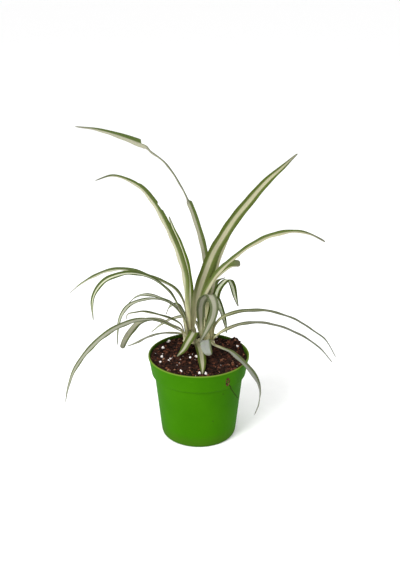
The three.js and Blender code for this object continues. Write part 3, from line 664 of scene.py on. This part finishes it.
# The leaves of each crown, by number: its seat as (ring, angle in degrees round the crown),
# the way it arches (degrees from +X), its widest width, how far its margins turn up
# (degrees), its shape, and the points that the middle of its blade passes through,
# (x, y, z) or (x, y, z, twist in degrees).
LEFT_LEAVES = [
    ((0, 30), 20, 13, 34, STRAP, [(-4, 32, 122, 20), (0, 33, 148, 50), (8, 36, 173, 65),
     (16, 41, 192, 70), (24, 45, 205, 70), (38, 53, 225, 68), (55, 62, 244, 62),
     (73, 72, 262, 55), (91, 81, 276, 50), (107, 88, 289, 40)]),
    ((0, 265), 196, 9, 42, STRAP, [(-13, 21, 145, 20), (-14, 17, 173, 45), (-19, 12, 197, 50),
     (-25, 6, 217, 50), (-38, -7, 251, 55), (-46, -14, 267, 55), (-56, -21, 281, 60),
     (-68, -27, 290, 60), (-82, -32, 295, 60), (-97, -40, 292, 60)]),
    ((1, 90), 150, 8, 40, STRAP, [(-9, 43, 130, -40), (-10, 47, 152, -60), (-14, 56, 176, -70),
     (-21, 66, 194, -60), (-28, 75, 208, -60), (-33, 83, 220, -50)]),
    ((0, 150), 172, 7.5, 35, STRAP, [(-14, 36, 125), (-19, 40, 141), (-27, 44, 150),
     (-39, 48, 156), (-54, 53, 160, -5), (-69, 58, 164, -15), (-86, 63, 165, -15),
     (-103, 70, 160, -20), (-118, 75, 152, -25), (-133, 82, 141, -20), (-149, 89, 126)]),
    ((1, 158), 184, 8.5, 38, STRAP, [(-17, 29, 120), (-22, 29, 135), (-31, 27, 152),
     (-47, 23, 168), (-61, 20, 175, -10), (-73, 16, 178, -15), (-85, 13, 177, -25),
     (-97, 9, 173, -40), (-106, 4, 165, -50), (-111, 0, 153, -55), (-110, -8, 134, -50)]),
    ((2, 122), 176, 6, 35, STRAP, [(-17, 36, 118), (-24, 39, 129), (-31, 41, 134),
     (-39, 45, 136), (-50, 51, 138, -10), (-59, 56, 137, -15), (-70, 63, 132, -10),
     (-80, 70, 121)]),
    ((1, 225), 200, 6.5, 35, STRAP, [(-16, 22, 122), (-26, 18, 139), (-37, 16, 147),
     (-47, 13, 150), (-56, 9, 151), (-72, 2, 148, -15), (-78, -3, 143, -25),
     (-83, -8, 133, -25), (-85, -17, 110, -15)]),
    ((2, 165), 188, 6, 35, STRAP, [(-19, 28, 113), (-30, 24, 122), (-41, 20, 128),
     (-59, 16, 134), (-67, 14, 134), (-76, 13, 132), (-78, 11, 126)]),
    ((2, 258), 207, 7.5, 35, STRAP, [(-16, 15, 109), (-25, 10, 117), (-37, 4, 126),
     (-50, -3, 133), (-63, -9, 135, -10), (-77, -17, 134, -15), (-90, -27, 131, -20),
     (-103, -37, 124, -20), (-116, -49, 113, -20), (-125, -59, 101, -20), (-130, -66, 88, -15),
     (-133, -73, 74)]),
    ((2, 211), 202, 8.5, 30, BLUNT, [(-18, 22, 109), (-29, 17, 118), (-41, 12, 126),
     (-52, 7, 129), (-63, 2, 127, -15), (-71, -3, 120, -30), (-77, -7, 112, -40),
     (-81, -12, 104, -45)]),
    ((2, 84), 164, 5, 35, STRAP, [(-11, 42, 98), (-19, 42, 96), (-26, 43, 96), (-35, 44, 96),
     (-44, 48, 93), (-58, 56, 85, -15), (-71, 65, 74, -25), (-84, 76, 64, -25)]),
    ((2, 46), 140, 6, 35, STRAP, [(-6, 41, 103), (-13, 44, 110), (-18, 50, 119),
     (-24, 58, 124, -20), (-32, 65, 120, -40), (-38, 77, 104, -40)]),
    ((2, 305), 235, 11.5, 48, STRAP, [(-5, 18, 109), (-7, 13, 107), (-12, 8, 100), (-16, 3, 95),
     (-23, -3, 90)]),
]
RIGHT_LEAVES = [
    ((0, 120), 165, 10, 35, CREASED, [(8, 39, 135, -40), (10, 44, 165, -70), (6, 49, 192, -70),
     (0, 54, 215, -70), (-9, 59, 240, -60), (-12, 61, 246, -5), (-19, 65, 259), (-35, 71, 282),
     (-52, 77, 295, -5), (-56, 80, 299, -55), (-67, 83, 303, -55), (-87, 88, 309, -50),
     (-110, 94, 314, -45), (-134, 100, 316, -40)]),
    ((1, 85), 50, 7.5, 35, STRAP, [(8, 43, 114, 50), (14, 53, 148, 60), (20, 63, 173, 60),
     (27, 73, 188, 60), (34, 83, 200, 60), (46, 96, 218, 50)]),
    ((0, 240), 342, 8, 35, DRIED, [(4, 22, 114, 20), (3, 16, 138, 55), (6, 11, 156, 60),
     (12, 7, 170, 50), (21, 3, 185, 40), (34, -3, 200, 30), (48, -9, 214, 30),
     (65, -16, 227, 35), (80, -24, 235, 35), (94, -31, 239, 20), (107, -39, 239, 5),
     (121, -48, 234, 5)]),
    ((0, 0), 0, 9.5, 30, PADDLE, [(8, 29, 112), (6, 21, 138, 20), (8, 19, 154, 30),
     (14, 19, 167, 35), (23, 20, 179, 45), (33, 22, 186, 55), (44, 23, 186, 50)]),
    ((2, 60), 50, 9, 30, STRAP, [(15, 37, 103), (16, 40, 116), (18, 44, 132, 10),
     (21, 49, 144, 10), (27, 53, 152), (33, 57, 155, -10), (38, 62, 145, -30),
     (41, 66, 131, -40), (45, 72, 116, -40)]),
    ((2, 109), 75, 7, 35, STRAP, [(8, 47, 113, 20), (13, 56, 128, 20), (17, 64, 140, 10),
     (21, 70, 148), (30, 76, 150)]),
    ((1, 266), 75, 8, 25, STRAP, [(9, 20, 108), (13, 22, 126), (16, 26, 139), (17, 31, 145),
     (20, 36, 140), (25, 38, 126), (29, 40, 111), (31, 39, 98)]),
    ((1, 195), 75, 11, 25, STALKED, [(3, 22, 104), (2, 11, 129, 40), (2, 7, 144, 40),
     (6, 2, 156, 20), (12, -3, 160), (16, -7, 152), (15, -9, 140), (10, -11, 128),
     (5, -12, 118), (1, -13, 111)]),
    ((2, 14), 350, 5, 35, STRAP, [(17, 27, 111, 20), (26, 26, 123, 35), (41, 24, 130, 35),
     (58, 24, 132, 20), (74, 25, 131, 10), (91, 26, 126), (108, 28, 118), (124, 31, 106),
     (140, 33, 93), (154, 38, 69)]),
    ((2, 338), 345, 5, 35, STRAP, [(18, 21, 102, 20), (26, 18, 110, 35), (36, 14, 117, 35),
     (48, 9, 123, 20), (62, 5, 126, 10), (78, -2, 127), (95, -9, 124), (112, -17, 118),
     (127, -25, 109), (138, -33, 98)]),
    ((2, 295), 315, 7.5, 35, STALKED, [(17, 10, 97), (25, 1, 98), (35, -12, 99), (46, -29, 96),
     (55, -35, 88), (62, -38, 76, -15), (64, -37, 63, -35), (63, -35, 50, -40),
     (59, -35, 37, -40)]),
    ((2, 197), 265, 9.5, 35, STRAP, [(-1, 21, 95), (1, 11, 94), (3, -7, 92), (4, -25, 91),
     (4, -43, 90)]),
    ((2, 246), 290, 12, 26, BLUNT, [(7, 9, 103), (8, -4, 101), (11, -15, 97)]),
    ((2, 153), 160, 5, 35, STRAP, [(0, 39, 102), (-4, 49, 108), (-16, 54, 111, -10),
     (-24, 56, 110, -20), (-38, 63, 101, -25), (-56, 80, 80, -25)]),
]

# How the same leaves are coloured: (middle, half width) of the cream stripe as shares of the
# blade's half width, then from 0 to 1 how far it is turned a dusty grey, partly from ageing
# and partly as painted shade on leaves that face away from the light, how much bluish grey
# painted reflection of the sky it has, how much paler than the others its stripe is, and how
# deep its green is.
LEFT_COLOURS = [
    ((0, 0.36), 0.05, 0, 0, 0.3), ((-0.7, 0.7), 0.1, 0, 0.1, 0.7), ((0.2, 0.4), 0, 0, 0.3, 0.9),
    ((0.6, 0.4), 0.25, 0, 0.3, 0.8), ((0.15, 0.3), 0.2, 0, 0.6, 1),
    ((0, 0.5), 0.35, 0.4, 0.3, 0.9), ((0.1, 0.5), 0.35, 0.4, 0.3, 0.9),
    ((0.9, 0.5), 0.3, 0, 0, 0.5), ((0.1, 0.5), 0.4, 0.5, 0.1, 0.4),
    ((-0.2, 0.7), 0.3, 0.2, 0.1, 0.2), ((0, 0.5), 0.7, 0, 0.1, 0.3),
    ((0.2, 0.45), 0.3, 0, 0.6, 0.9), ((-0.1, 0.35), 0.05, 0.3, 0, 0.4),
]
RIGHT_COLOURS = [
    ((0.75, 0.75), 0.2, 0.3, 0, 1), ((-0.8, 0.6), 0, 0, 0, 0.4),
    ((-0.65, 0.65), 0.15, 0, 0, 0.7), ((-0.95, 0.3), 0, 0, 0, 0.4),
    ((0.15, 0.4), 0, 0, 0.9, 0.8), ((0.95, 0.3), 0.2, 0, 0, 0.8),
    ((0.05, 0.45), 0, 0.1, 0.9, 0.6), ((-0.05, 0.45), 0.5, 0.3, 0, 0.9),
    ((0, 0.2), 0.6, 0, 0, 1), ((0, 0.4), 0.85, 0, 0, 0.8), ((-0.4, 0.6), 0.45, 0.8, 0, 0.5),
    ((0, 0.45), 0, 0.1, 0, 0.3), ((-0.2, 0.9), 0.1, 0.9, 0, 0.3),
    ((0.2, 0.5), 0.2, 0, 0.3, 0.3),
]

# Where a margin has torn away: (first and last share of the length, which margin, share
# of the half blade that is gone at each). The split follows the veins and ends squarely.
TEARS = {
    "left_leaf_02": [(0.668, 0.7, 1, 0.25, 0.4), (0.82, 1, 1, 0.3, 0.2)],
    "right_leaf_01": [(0.497, 0.6, -1, 0.6, 0.45), (0.6, 0.757, -1, 0.45, 0.95)],
}


def eased(values, t):
    """Values at equal steps, eased from each to the next."""
    place = np.clip(t, 0, 1) * (len(values) - 1)
    index = np.minimum(place.astype(int), len(values) - 2)
    values = np.asarray(values, float)
    return values[index] + (values[index + 1] - values[index]) * smoothstep(place - index, 0, 1)


def tapered(values, t):
    """Values at equal steps, joined by a smooth line."""
    steps, nudges = np.linspace(0, 1, len(values)), np.linspace(-SHAPE_EASE, SHAPE_EASE, 9)
    return np.mean([np.interp(t + nudge, steps, values) for nudge in nudges], axis=0)


def route_point(knots, t):
    """A point of the centripetal curve through the knots, t from 0 to 1."""
    place = min(t * (len(knots) - 1), len(knots) - 1 - 1e-9)
    index = int(place)
    p1, p2 = knots[index], knots[index + 1]
    p0 = knots[index - 1] if index else 2 * p1 - p2
    p3 = knots[index + 2] if index + 2 < len(knots) else 2 * p2 - p1
    d0, d1, d2 = (np.linalg.norm(b - a) ** 0.5 for a, b in ((p0, p1), (p1, p2), (p2, p3)))
    m1 = ((p1 - p0) / d0 - (p2 - p0) / (d0 + d1) + (p2 - p1) / d1) * d1
    m2 = ((p2 - p1) / d1 - (p3 - p1) / (d1 + d2) + (p3 - p2) / d2) * d1
    s = place - index
    return (p1 + m1 * s + (-3 * p1 + 3 * p2 - 2 * m1 - m2) * s ** 2
            + (2 * p1 - 2 * p2 + m1 + m2) * s ** 3)


def unit(rows):
    return rows / np.linalg.norm(rows, axis=1, keepdims=True)


def turned_about(rows, axes, degrees):
    """Each row turned about its own axis."""
    angle = np.radians(degrees)[:, None]
    return (rows * np.cos(angle) + np.cross(axes, rows) * np.sin(angle)
            + axes * np.sum(axes * rows, axis=1, keepdims=True) * (1 - np.cos(angle)))


def leaf_frame(leaf, crown):
    """Rows along a leaf: points of its midrib, the blade's side and face directions, half
    width, bend, sink, share of the length and distance from the base."""
    (ring, angle), bearing, widest, turn, shape, vias = leaf
    radius, seat_width, rise = SEATS[ring]
    outward = np.array([math.cos(math.radians(angle)), math.sin(math.radians(angle)), 0])
    foot = np.array([*crown, CROWN_TOP + rise - SEAT_DEPTH]) + radius * outward
    neck = foot + [0, 0, SEAT_DEPTH]
    collar = neck + COLLAR_OUT * outward + [0, 0, COLLAR_UP]
    knots = [neck, collar, *(np.array(via[:3], float) for via in vias)]
    twists = [0, 0, *(via[3] if len(via) > 3 else 0 for via in vias)]

    fine = np.linspace(0, 1, 1201)
    walk = np.array([route_point(knots, t) for t in fine])
    reach = np.concatenate([[0], np.cumsum(np.linalg.norm(np.diff(walk, axis=0), axis=1))])
    count = int(reach[-1] / ROW_STEP) + 2
    share = np.union1d(np.linspace(0, 1, count) ** 1.15, 1 - np.array(TIP_ROWS) / reach[-1])
    times = np.interp(share * reach[-1], reach, fine)
    points = np.array([route_point(knots, t) for t in times])
    ahead, behind = np.minimum(times + 1e-4, 1), np.maximum(times - 1e-4, 0)
    tangents = unit(np.array([route_point(knots, a) - route_point(knots, b)
                              for a, b in zip(ahead, behind)]))
    points, tangents = np.vstack([foot, points]), np.vstack([[0, 0, 1], tangents])
    tangents[1] = (0, 0, 1)
    share, times = np.concatenate([[0], share]), np.concatenate([[0], times])

    settled = smoothstep(share, 0, SETTLE)
    swing = (bearing - angle + 540) % 360 - 180
    heading = np.radians(angle + swing * settled)
    sides = np.stack([-np.sin(heading), np.cos(heading), 0 * heading], axis=1)
    sides = unit(sides - tangents * np.sum(sides * tangents, axis=1, keepdims=True))
    sides = turned_about(sides, tangents, eased(twists, times))
    faces = np.cross(tangents, sides)

    width = widest * tapered(shape, share)
    foot_width = min(seat_width, FOOT_SHARE * widest)
    half_width = (foot_width + (width - foot_width) * settled) / 2
    blade_bend = math.radians(turn) * (1 + (TIP_TURN - 1) * share)
    bend = foot_width / 2 / radius * (1 - settled) + blade_bend * settled
    sink = settled * MEAN_LIFT * half_width * bend
    distance = share * reach[-1]
    return points, sides, faces, half_width, bend, sink, share, distance, settled


def torn(across, share, tears):
    """Places across the blade, drawn in where a margin has torn away."""
    kept = np.ones((len(share), across.shape[1]))
    for first, last, margin, *gone in tears:
        rows = (share >= first) & (share <= last)
        left = 1 - np.interp(share[rows], (first, last), gone)
        kept[np.ix_(rows, across[0] * margin > 0)] = left[:, None]
    return across * kept


def blade_faces(rows, per_row):
    """Faces that close two grids of rows, the upper side's first: those of the upper side,
    the margins and the ends, and those of the underside."""
    under = rows * per_row
    quads, below = [], []
    for i in range(rows - 1):
        for j in range(per_row - 1):
            a, b = i * per_row + j, (i + 1) * per_row + j
            quads.append((a, b, b + 1, a + 1))
            below.append((under + a, under + a + 1, under + b + 1, under + b))
        for j, flip in ((0, False), (per_row - 1, True)):
            a, b = i * per_row + j, (i + 1) * per_row + j
            rim = (a, under + a, under + b, b)
            quads.append(rim[::-1] if flip else rim)
    last = under - per_row
    base = [*range(per_row), *range(under + per_row - 1, under - 1, -1)]
    tip = [*range(under + last, under + last + per_row), *range(last + per_row - 1, last - 1, -1)]
    return quads + [tuple(base), tuple(tip)], below


def blade(leaf, colouring, tears, crown, draw):
    """Points and faces of a closed blade, and what its skin reads at each point."""
    (points, sides, faces, half_width, bend, sink, share, distance,
     settled) = leaf_frame(leaf, crown)
    widest, shape = leaf[2], leaf[4]
    pointed = shape not in (BLUNT, PADDLE)
    round_end = POINT_ROUND if pointed else BLUNT_ROUND * widest / distance[-1]
    closing = np.clip((1 - share) / round_end, 0, 1)
    squared = 0 if pointed else BLUNT_END
    closing = squared + (1 - squared) * np.sqrt(1 - (1 - closing) ** 2)
    half_width = half_width * np.maximum(closing, 0.04)
    columns = 2 * max(5, round(widest / COLUMN_STEP / 2))
    across = torn(np.linspace(-1, 1, columns + 1)[None, :], share, tears)
    half_width, bend, sink = half_width[:, None], bend[:, None], sink[:, None]
    settled, distance = settled[:, None], distance[:, None]
    half = HALF_THICKNESS * (1 - MARGIN_THINNING * settled * across ** 2)
    half = half * np.maximum(closing[:, None], 0.3)
    width_mm = half_width * across
    phase = draw.uniform(0, 6), draw.uniform(0, 6)
    wave = np.where(across < 0, np.sin(distance * 2 * math.pi / MARGIN_WAVE_PITCH + phase[0]),
                    np.sin(distance * 2 * math.pi / (0.8 * MARGIN_WAVE_PITCH) + phase[1]))
    wave = wave * MARGIN_WAVE * np.abs(across) ** 3 * settled * np.minimum(half_width / 3, 1)
    pleats = PLEAT_DEPTH * np.cos(2 * math.pi * width_mm / PLEAT_PITCH) * settled
    midrib = MIDRIB_DEPTH * np.exp(-(width_mm / MIDRIB_WIDTH) ** 2) * settled
    radius = half_width / bend
    lean = bend * across
    grids = []
    for sign in (1, -1):
        stand = radius - sign * half - wave
        stand = stand + midrib * (1 if sign > 0 else KEEL) - pleats
        right = stand * np.sin(lean)
        up = radius - stand * np.cos(lean) - sink
        grids.append(points[:, None] + sides[:, None] * right[..., None]
                     + faces[:, None] * up[..., None])
    rows, per_row = grids[0].shape[:2]

    def flat(grid):
        """A grid's numbers for the points of the upper side, and again for the underside."""
        return np.concatenate([np.broadcast_to(grid, (rows, per_row)).ravel()] * 2)

    (middle, cream), age, bloom, paleness, depth = colouring
    grown = smoothstep(share[:, None], 0.05, 0.45)
    # the pale foot reaches further and is paler than the leaf's own base, as painted light where
    # the leaves shade one another
    pale_and_lit_length = min(PALE_AND_LIT_FOOT, PALE_AND_LIT_SHARE * distance[-1, 0])
    pale = 1 - smoothstep(distance, 0.02 * distance[-1], pale_and_lit_length)
    skin = {
        "stripe": flat(np.abs(across - middle) / cream),
        "margin": flat(np.abs(across)),
        "vein": flat(width_mm + draw.uniform(20, 900)),
        "reach": flat(distance + draw.uniform(20, 900)),
        "along": flat(share[:, None]),
        "foot": flat(pale * (1 - 0.5 * age)),
        # a dusty grey, partly from ageing and partly painted shade on leaves that face away from
        # the light
        "age": flat(age * grown),
        # a bluish grey painted reflection of the sky
        "bloom": flat(bloom * grown),
        "paleness": flat(paleness * grown),
        "depth": flat(depth * smoothstep(share[:, None], 0.15, 0.6)),
    }
    return np.concatenate([g.reshape(-1, 3) for g in grids]), *blade_faces(rows, per_row), skin


def leaf_skin(name, cream, inner_green, margin_green, roughness):
    """Waxy leaf skin: chlorophyll only at the margins, streaks of green and cream that
    follow the parallel veins 0.5 mm apart, a drier tip, a pale foot made paler still as
    painted light against the shade among the leaf bases, a bluish grey painted reflection
    of the sky, and a dusty grey that is partly from ageing and partly painted shade."""
    material, tree = new_material(name)
    read = {key: add(tree, "Attribute", attribute_name=key).outputs["Fac"]
            for key in ("stripe", "margin", "vein", "reach", "along", "foot", "age", "bloom",
                        "paleness", "depth")}

    def drawn_out(width, run, detail):
        """Noise drawn out along the veins, each grain of a width and run in millimetres."""
        grain_place = add(tree, "CombineXYZ", {
            0: add(tree, "Math", {0: read["vein"], 1: 1 / width}, operation="MULTIPLY"),
            1: add(tree, "Math", {0: read["reach"], 1: 1 / run}, operation="MULTIPLY")})
        return add(tree, "TexNoise", {"Vector": grain_place, "Scale": 1, "Detail": detail})

    streaks, patches = drawn_out(0.5, 38, 2), drawn_out(4, 22, 3)
    shift = add(tree, "MapRange", {0: streaks, 1: 0.3, 2: 0.7, 3: -0.25, 4: 0.25})
    ragged = add(tree, "Math", {0: read["stripe"], 1: shift}, operation="ADD")
    green_share = add(tree, "MapRange", {0: ragged, 1: 0.7, 2: 1.25, 3: 0, 4: 1},
                      interpolation_type="SMOOTHSTEP")
    margin_share = add(tree, "MapRange", {0: read["margin"], 1: 0.3, 2: 0.75, 3: 0, 4: 1},
                       interpolation_type="SMOOTHSTEP")
    green = add(tree, "Mix", {0: margin_share, 6: linear(inner_green),
                              7: linear(margin_green)}, data_type="RGBA")
    deep = add(tree, "Mix", {0: read["depth"], 6: green.outputs[2], 7: linear("#39490b")},
               data_type="RGBA")
    # the pale foot's cream, also painted light against the shade among the leaf bases
    foot = add(tree, "Math", {0: read["foot"], 1: 0.75}, operation="MULTIPLY")
    tip = add(tree, "MapRange", {0: read["along"], 1: 0.9, 2: 1.0, 3: 0, 4: 0.75})
    skin = linear(cream)
    # the first tint is a bluish grey painted reflection of the sky
    for share, tint in ((read["bloom"], linear("#8c908b")), (read["paleness"], linear("#ccd2b8")),
                        (green_share, deep.outputs[2]), (foot, linear("#dad4ab")),
                        # a dusty grey, partly from ageing and partly painted shade
                        (read["age"], linear("#585a4c")), (tip, linear("#5a5a4c"))):
        skin = add(tree, "Mix", {0: share, 6: skin, 7: tint}, data_type="RGBA").outputs[2]
    shade = add(tree, "MapRange", {0: patches, 1: 0.25, 2: 0.75, 3: 0.88, 4: 1.08})
    fine = add(tree, "MapRange", {0: streaks, 1: 0.25, 2: 0.75, 3: 0.93, 4: 1.06})
    both = add(tree, "Math", {0: shade, 1: fine}, operation="MULTIPLY")
    colour = add(tree, "VectorMath", {0: skin, 3: both}, operation="SCALE")
    rough = add(tree, "MapRange", {0: patches, 1: 0.3, 2: 0.7,
                                   3: roughness - 0.06, 4: roughness + 0.08})
    bumps = add(tree, "Bump", {"Height": streaks, "Strength": 0.5, "Distance": 0.12 * MM})
    shader = add(tree, "BsdfPrincipled", {
        "Base Color": colour, "Roughness": rough, "IOR": 1.42,
        "Specular IOR Level": 0.06, "Subsurface Weight": 0.15,
        "Subsurface Radius": (0.6, 1.0, 0.3), "Subsurface Scale": MM, "Normal": bumps})
    add(tree, "OutputMaterial", {"Surface": shader})
    return material


upper_skin = leaf_skin("variegated_upper_skin", "#9b987c", "#5c6735", "#47511e", 0.42)
under_skin = leaf_skin("variegated_under_skin", "#9e9b82", "#667042", "#4c5626", 0.52)
leaf_draw = random.Random(LEAF_SEED)
for side, leaves, colours in (
        ("left", LEFT_LEAVES, LEFT_COLOURS), ("right", RIGHT_LEAVES, RIGHT_COLOURS)):
    for number, (leaf, colouring) in enumerate(zip(leaves, colours), 1):
        name = f"{side}_leaf_{number:02d}"
        leaf_points, upper_faces, under_faces, skin = blade(
            leaf, colouring, TEARS.get(name, []), CROWN_CENTRES[side], leaf_draw)
        piece = new_object(
            f"{name}_blade", leaf_points, upper_faces + under_faces, upper_skin, under_skin)
        wears = [0] * len(upper_faces) + [1] * len(under_faces)
        piece.data.polygons.foreach_set("material_index", wears)
        for key, values in skin.items():
            set_attribute(piece, key, values)
        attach(piece, "root")
        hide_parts(name)

# ---- Studio -------------------------------------------------------------------------
# A white table top under even soft light, from a large window-like lamp at the upper
# left and a weaker one at the right, seen from a little above.
CAMERA_PLACE = (1.4, -807.5, 489.4)
CAMERA_PITCH = 21.53  # degrees below the horizon
CAMERA_LENS = 52.92
FILM_HEIGHT = 36
FLOOR_RADIUS = 20000
LAMPS = [  # name, place, width, power in watts
    ("key_lamp", (-900, -1000, 1000), 900, 30),
    ("fill_lamp", (1100, -500, 700), 900, 1.5),
]
LAMP_AIM = (0, 0, 150)
SKY_STRENGTH = 1.02


def matt_white_paper():
    """A seamless paper sweep: matt white, with a faint unevenness drawn coarse to show."""
    material, tree = new_material("matt_white_paper")
    place = add(tree, "TexCoord").outputs["Object"]
    tooth = add(tree, "TexNoise", {"Vector": place, "Scale": per_metre(17), "Detail": 3})
    colour = add(tree, "ValToRGB", {0: tooth}, [(0.3, "#fafafa"), (0.7, "#fdfdfd")])
    shader = add(tree, "BsdfPrincipled", {"Base Color": colour, "Roughness": 0.9})
    add(tree, "OutputMaterial", {"Surface": shader})
    return material


corners = [(x * FLOOR_RADIUS, y * FLOOR_RADIUS, 0)
           for x, y in ((-1, -1), (1, -1), (1, 1), (-1, 1))]
new_object("paper_sweep", corners, [(0, 1, 2, 3)], matt_white_paper())

world = bpy.data.worlds.new("soft_light")
world.use_nodes = True
glow = world.node_tree.nodes["Background"].inputs
glow["Color"].default_value = (1, 1, 1, 1)
glow["Strength"].default_value = SKY_STRENGTH
bpy.context.scene.world = world

for name, place, width, power in LAMPS:
    lamp = bpy.data.lights.new(name, "AREA")
    lamp.shape = "DISK"
    lamp.size = width * MM
    lamp.energy = power
    stand = bpy.data.objects.new(name, lamp)
    stand.location = Vector(place) * MM
    aim = Vector(LAMP_AIM) - Vector(place)
    stand.rotation_euler = aim.to_track_quat("-Z", "Y").to_euler()
    bpy.context.scene.collection.objects.link(stand)

camera_data = bpy.data.cameras.new("camera")
camera_data.sensor_fit = "VERTICAL"
camera_data.sensor_height = FILM_HEIGHT
camera_data.lens = CAMERA_LENS
camera = bpy.data.objects.new("camera", camera_data)
camera.location = Vector(CAMERA_PLACE) * MM
camera.rotation_euler = (math.radians(90 - CAMERA_PITCH), 0, 0)
bpy.context.scene.collection.objects.link(camera)
bpy.context.scene.camera = camera
bpy.context.scene.view_settings.view_transform = "Standard"
